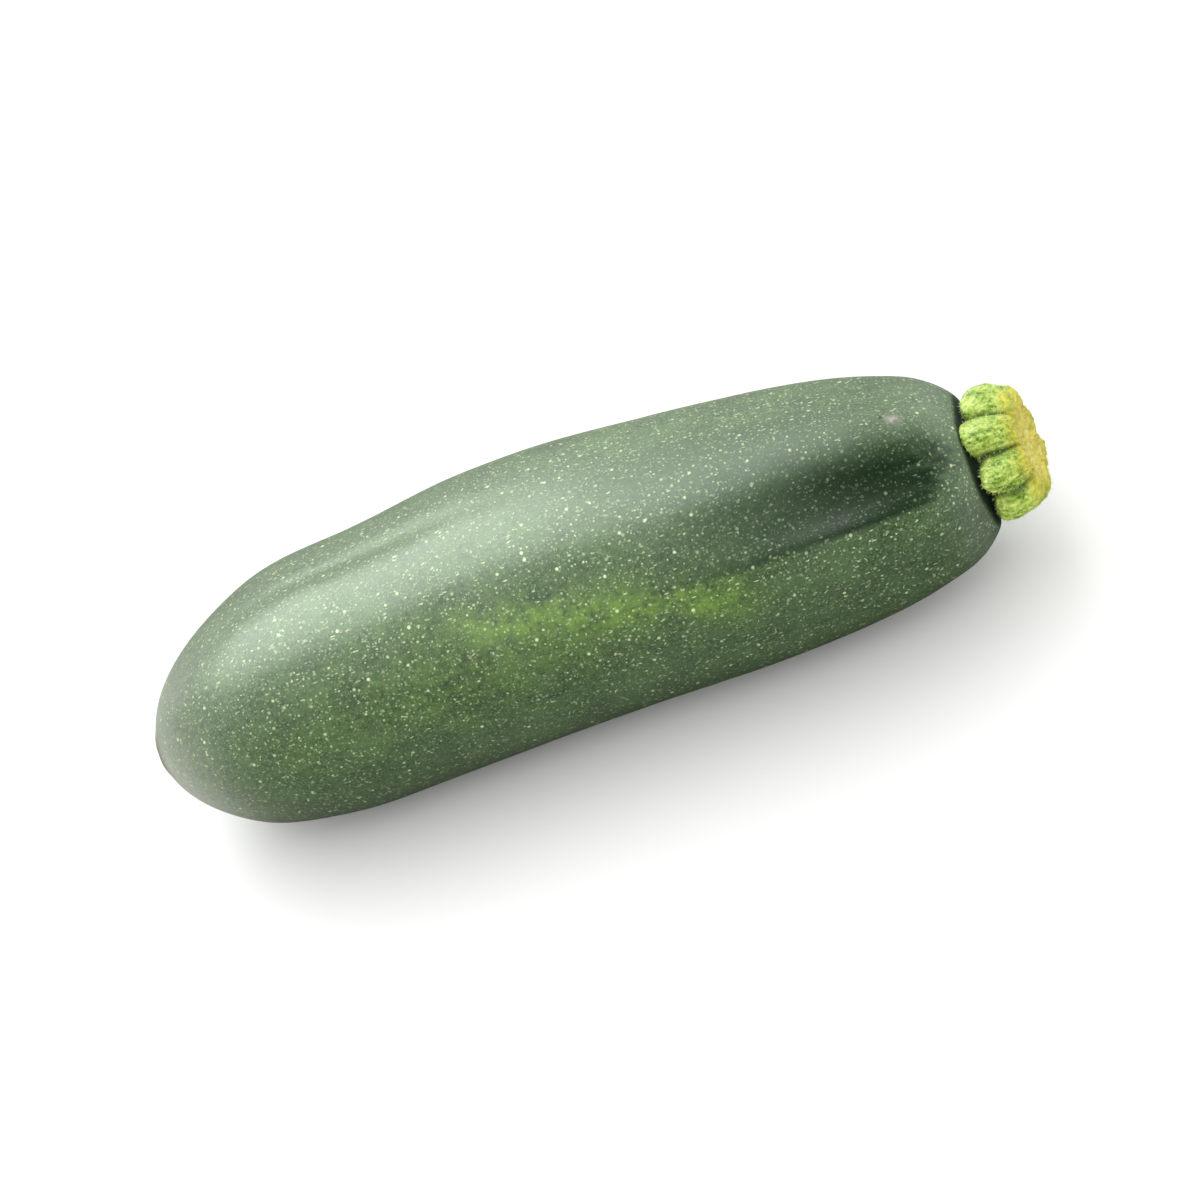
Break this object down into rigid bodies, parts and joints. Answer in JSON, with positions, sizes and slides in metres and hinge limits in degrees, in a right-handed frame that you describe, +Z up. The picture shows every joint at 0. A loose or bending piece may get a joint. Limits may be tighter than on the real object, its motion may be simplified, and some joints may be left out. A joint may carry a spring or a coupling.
{
  "type": "courgette",
  "caption": "Whole courgette lying on its belly: a ribbed, slightly bent dark green fruit with pale flecks, and the lobed light green stub of its cut stem.",
  "frame": {"origin": "the middle of the footprint's box, on the table that the courgette lies on", "axes": "+X runs along the fruit from its blossom end to its stem, +Z is up, and -Y is the front, the side that the picture shows"},
  "size_m": [0.1758, 0.0516, 0.0506],
  "materials": {
    "green_skin": "waxy dark green skin with pale flecks, a soft sheen and a lighter green flush along the front",
    "stem_rind": "matt light green rind with fine hairs, and a rough yellow cut face"
  },
  "bodies": {
    "root": {"fruit": "green_skin", "stem": "stem_rind"}
  },
  "joints": []
}
